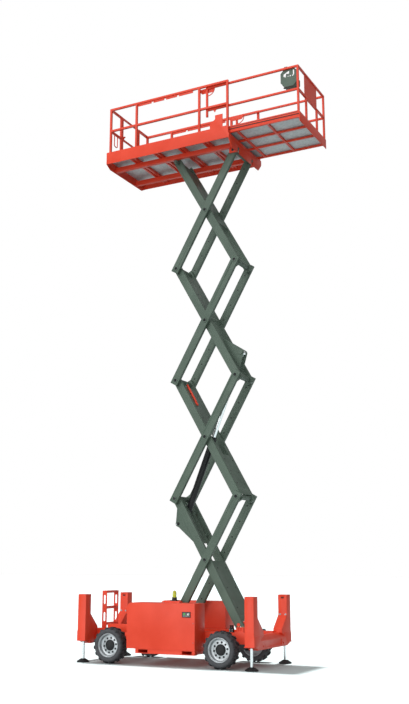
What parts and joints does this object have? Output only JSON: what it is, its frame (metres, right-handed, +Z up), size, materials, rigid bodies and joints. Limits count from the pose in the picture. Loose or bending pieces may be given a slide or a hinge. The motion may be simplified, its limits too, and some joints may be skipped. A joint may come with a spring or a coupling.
{
  "type": "scissor lift",
  "caption": "Rough-terrain scissor lift with stacked folding arms, railed platform with a sliding deck, steered wheels and outrigger jacks.",
  "frame": {"origin": "on the ground under the middle of the overall length, on the machine's centre line", "axes": "+X forwards to the sliding deck's end, +Y to the machine's left, +Z up"},
  "size_m": [4.703, 1.724, 11.18],
  "materials": {
    "lift_paint": "gloss orange-red enamel",
    "arm_paint": "satin grey-green enamel",
    "black_paint": "satin black paint",
    "chrome_rod": "ground and plated",
    "tyre_rubber": "matt rubber",
    "rim_paint": "silver paint",
    "pad_plastic": "moulded black plastic",
    "floor_sheet": "galvanised sheet",
    "dark_plastic": "moulded",
    "cast_housing": "dark grey paint",
    "beacon_lens": "clear tinted"
  },
  "bodies": {
    "chassis": {"chassis_frame": "lift_paint", "front_outriggers": "lift_paint", "rear_outriggers": "lift_paint", "right_pod_shell": "lift_paint", "left_pod_shell": "lift_paint", "battery_pack": "dark_plastic", "pump_unit": "cast_housing", "ladder": "lift_paint", "beacon_base": "dark_plastic", "beacon_lens": "beacon_lens", "rear_axle": "black_paint", "front_axle": "black_paint", "valve_block": "black_paint"},
    "right_door": {"right_pod_door": "lift_paint", "ground_controls": "dark_plastic"},
    "left_door": {"left_pod_door": "lift_paint"},
    "right_knuckle": {"right_knuckle": "black_paint"},
    "left_knuckle": {"left_knuckle": "black_paint"},
    "steering_rod": {"steering_rod": "chrome_rod"},
    "lift_barrel": {"lift_barrel": "black_paint"},
    "lift_rod": {"lift_rod": "chrome_rod"},
    "platform": {"platform_frame": "lift_paint", "platform_floor": "floor_sheet", "right_guard_rail": "lift_paint", "left_guard_rail": "lift_paint"},
    "gate": {"gate": "lift_paint"},
    "deck": {"deck_frame": "lift_paint", "deck_floor": "floor_sheet", "deck_rails": "lift_paint", "control_box": "arm_paint"},
    "inner_1": {"inner_arms_1": "arm_paint"},
    "outer_1": {"outer_arms_1": "arm_paint"},
    "inner_2": {"inner_arms_2": "arm_paint", "safety_prop": "lift_paint"},
    "outer_2": {"outer_arms_2": "arm_paint"},
    "inner_3": {"inner_arms_3": "arm_paint"},
    "outer_3": {"outer_arms_3": "arm_paint"},
    "inner_4": {"inner_arms_4": "arm_paint"},
    "outer_4": {"outer_arms_4": "arm_paint"},
    "wheel_front_right": {"tyre_front_right": "tyre_rubber", "rim_front_right": "rim_paint"},
    "jack_front_right": {"jack_rod_front_right": "chrome_rod", "jack_pad_front_right": "pad_plastic"},
    "wheel_front_left": {"tyre_front_left": "tyre_rubber", "rim_front_left": "rim_paint"},
    "jack_front_left": {"jack_rod_front_left": "chrome_rod", "jack_pad_front_left": "pad_plastic"},
    "wheel_rear_right": {"tyre_rear_right": "tyre_rubber", "rim_rear_right": "rim_paint"},
    "jack_rear_right": {"jack_rod_rear_right": "chrome_rod", "jack_pad_rear_right": "pad_plastic"},
    "wheel_rear_left": {"tyre_rear_left": "tyre_rubber", "rim_rear_left": "rim_paint"},
    "jack_rear_left": {"jack_rod_rear_left": "chrome_rod", "jack_pad_rear_left": "pad_plastic"}
  },
  "joints": [
    {"name": "scissor_lift", "type": "hinge", "parent": "chassis", "child": "inner_1", "pos_m": [0.782, 0, 0.725], "axis": [0, 1, 0], "range_deg": [-56.5, 0]},
    {"name": "stage_1_centre", "type": "hinge", "parent": "inner_1", "child": "outer_1", "pos_m": [0.13693, 0, 1.86517], "axis": [0, 1, 0], "range_deg": [0, 113]},
    {"name": "left_pivot_1", "type": "hinge", "parent": "inner_1", "child": "outer_2", "pos_m": [-0.50815, 0, 3.00533], "axis": [0, 1, 0], "range_deg": [0, 113]},
    {"name": "stage_2_centre", "type": "hinge", "parent": "outer_2", "child": "inner_2", "pos_m": [0.13693, 0, 4.1455], "axis": [0, 1, 0], "range_deg": [-113, 0]},
    {"name": "right_pivot_2", "type": "hinge", "parent": "outer_2", "child": "inner_3", "pos_m": [0.782, 0, 5.28566], "axis": [0, 1, 0], "range_deg": [-113, 0]},
    {"name": "stage_3_centre", "type": "hinge", "parent": "inner_3", "child": "outer_3", "pos_m": [0.13693, 0, 6.42583], "axis": [0, 1, 0], "range_deg": [0, 113]},
    {"name": "left_pivot_3", "type": "hinge", "parent": "inner_3", "child": "outer_4", "pos_m": [-0.50815, 0, 7.566], "axis": [0, 1, 0], "range_deg": [0, 113]},
    {"name": "stage_4_centre", "type": "hinge", "parent": "outer_4", "child": "inner_4", "pos_m": [0.13693, 0, 8.70616], "axis": [0, 1, 0], "range_deg": [-113, 0]},
    {"name": "platform_level", "type": "hinge", "parent": "outer_4", "child": "platform", "pos_m": [0.782, 0, 9.84633], "axis": [0, 1, 0], "range_deg": [-56.5, 0]},
    {"name": "barrel_pivot", "type": "hinge", "parent": "inner_1", "child": "lift_barrel", "pos_m": [-0.50094, 0, 2.51536], "axis": [0, 1, 0], "range_deg": [0, 103.44]},
    {"name": "lift_stroke", "type": "slide", "parent": "lift_barrel", "child": "lift_rod", "axis": [0.3644, 0, 0.9312], "range_m": [-1.57622, 0]},
    {"name": "deck_slide", "type": "slide", "parent": "platform", "child": "deck", "axis": [1, 0, 0], "range_m": [-1.45, 0]},
    {"name": "gate_hinge", "type": "hinge", "parent": "platform", "child": "gate", "pos_m": [-1.8825, 0.3, 10.6], "axis": [0, 0, 1], "range_deg": [0, 90]},
    {"name": "right_door_hinge", "type": "hinge", "parent": "chassis", "child": "right_door", "pos_m": [-1.2625, -0.781, 0.7], "axis": [0, 0, -1], "range_deg": [0, 95]},
    {"name": "left_door_hinge", "type": "hinge", "parent": "chassis", "child": "left_door", "pos_m": [-1.2625, 0.781, 0.7], "axis": [0, 0, 1], "range_deg": [0, 95]},
    {"name": "left_steer", "type": "hinge", "parent": "chassis", "child": "left_knuckle", "pos_m": [0.6495, 0.5, 0.325], "axis": [0, 0, 1], "range_deg": [-32, 32]},
    {"name": "right_steer", "type": "hinge", "parent": "chassis", "child": "right_knuckle", "pos_m": [0.6495, -0.5, 0.325], "axis": [0, 0, 1], "range_deg": [-32, 32]},
    {"name": "steer_rod_slide", "type": "slide", "parent": "chassis", "child": "steering_rod", "axis": [0, 1, 0], "range_m": [-0.0945, 0.0945]},
    {"name": "front_right_wheel", "type": "hinge", "parent": "right_knuckle", "child": "wheel_front_right", "pos_m": [0.6495, -0.71, 0.325], "axis": [0, 1, 0], "continuous": true},
    {"name": "front_left_wheel", "type": "hinge", "parent": "left_knuckle", "child": "wheel_front_left", "pos_m": [0.6495, 0.71, 0.325], "axis": [0, 1, 0], "continuous": true},
    {"name": "rear_right_wheel", "type": "hinge", "parent": "chassis", "child": "wheel_rear_right", "pos_m": [-1.6405, -0.71, 0.325], "axis": [0, 1, 0], "continuous": true},
    {"name": "rear_left_wheel", "type": "hinge", "parent": "chassis", "child": "wheel_rear_left", "pos_m": [-1.6405, 0.71, 0.325], "axis": [0, 1, 0], "continuous": true},
    {"name": "front_right_jack", "type": "slide", "parent": "chassis", "child": "jack_front_right", "axis": [0, 0, -1], "range_m": [-0.28, 0]},
    {"name": "front_left_jack", "type": "slide", "parent": "chassis", "child": "jack_front_left", "axis": [0, 0, -1], "range_m": [-0.28, 0]},
    {"name": "rear_right_jack", "type": "slide", "parent": "chassis", "child": "jack_rear_right", "axis": [0, 0, -1], "range_m": [-0.28, 0]},
    {"name": "rear_left_jack", "type": "slide", "parent": "chassis", "child": "jack_rear_left", "axis": [0, 0, -1], "range_m": [-0.28, 0]}
  ],
  "couplings": [
    {"joint": "stage_1_centre", "follows": "scissor_lift", "ratio": -2},
    {"joint": "left_pivot_1", "follows": "scissor_lift", "ratio": -2},
    {"joint": "stage_2_centre", "follows": "scissor_lift", "ratio": 2},
    {"joint": "right_pivot_2", "follows": "scissor_lift", "ratio": 2},
    {"joint": "stage_3_centre", "follows": "scissor_lift", "ratio": -2},
    {"joint": "left_pivot_3", "follows": "scissor_lift", "ratio": -2},
    {"joint": "stage_4_centre", "follows": "scissor_lift", "ratio": 2},
    {"joint": "platform_level", "follows": "scissor_lift", "ratio": 1},
    {"joint": "barrel_pivot", "follows": "scissor_lift", "ratio": -1.8307},
    {"joint": "lift_stroke", "follows": "scissor_lift", "m_per_rad": 1.5983},
    {"joint": "right_steer", "follows": "left_steer", "ratio": 1},
    {"joint": "steer_rod_slide", "follows": "left_steer", "m_per_rad": -0.16782}
  ]
}
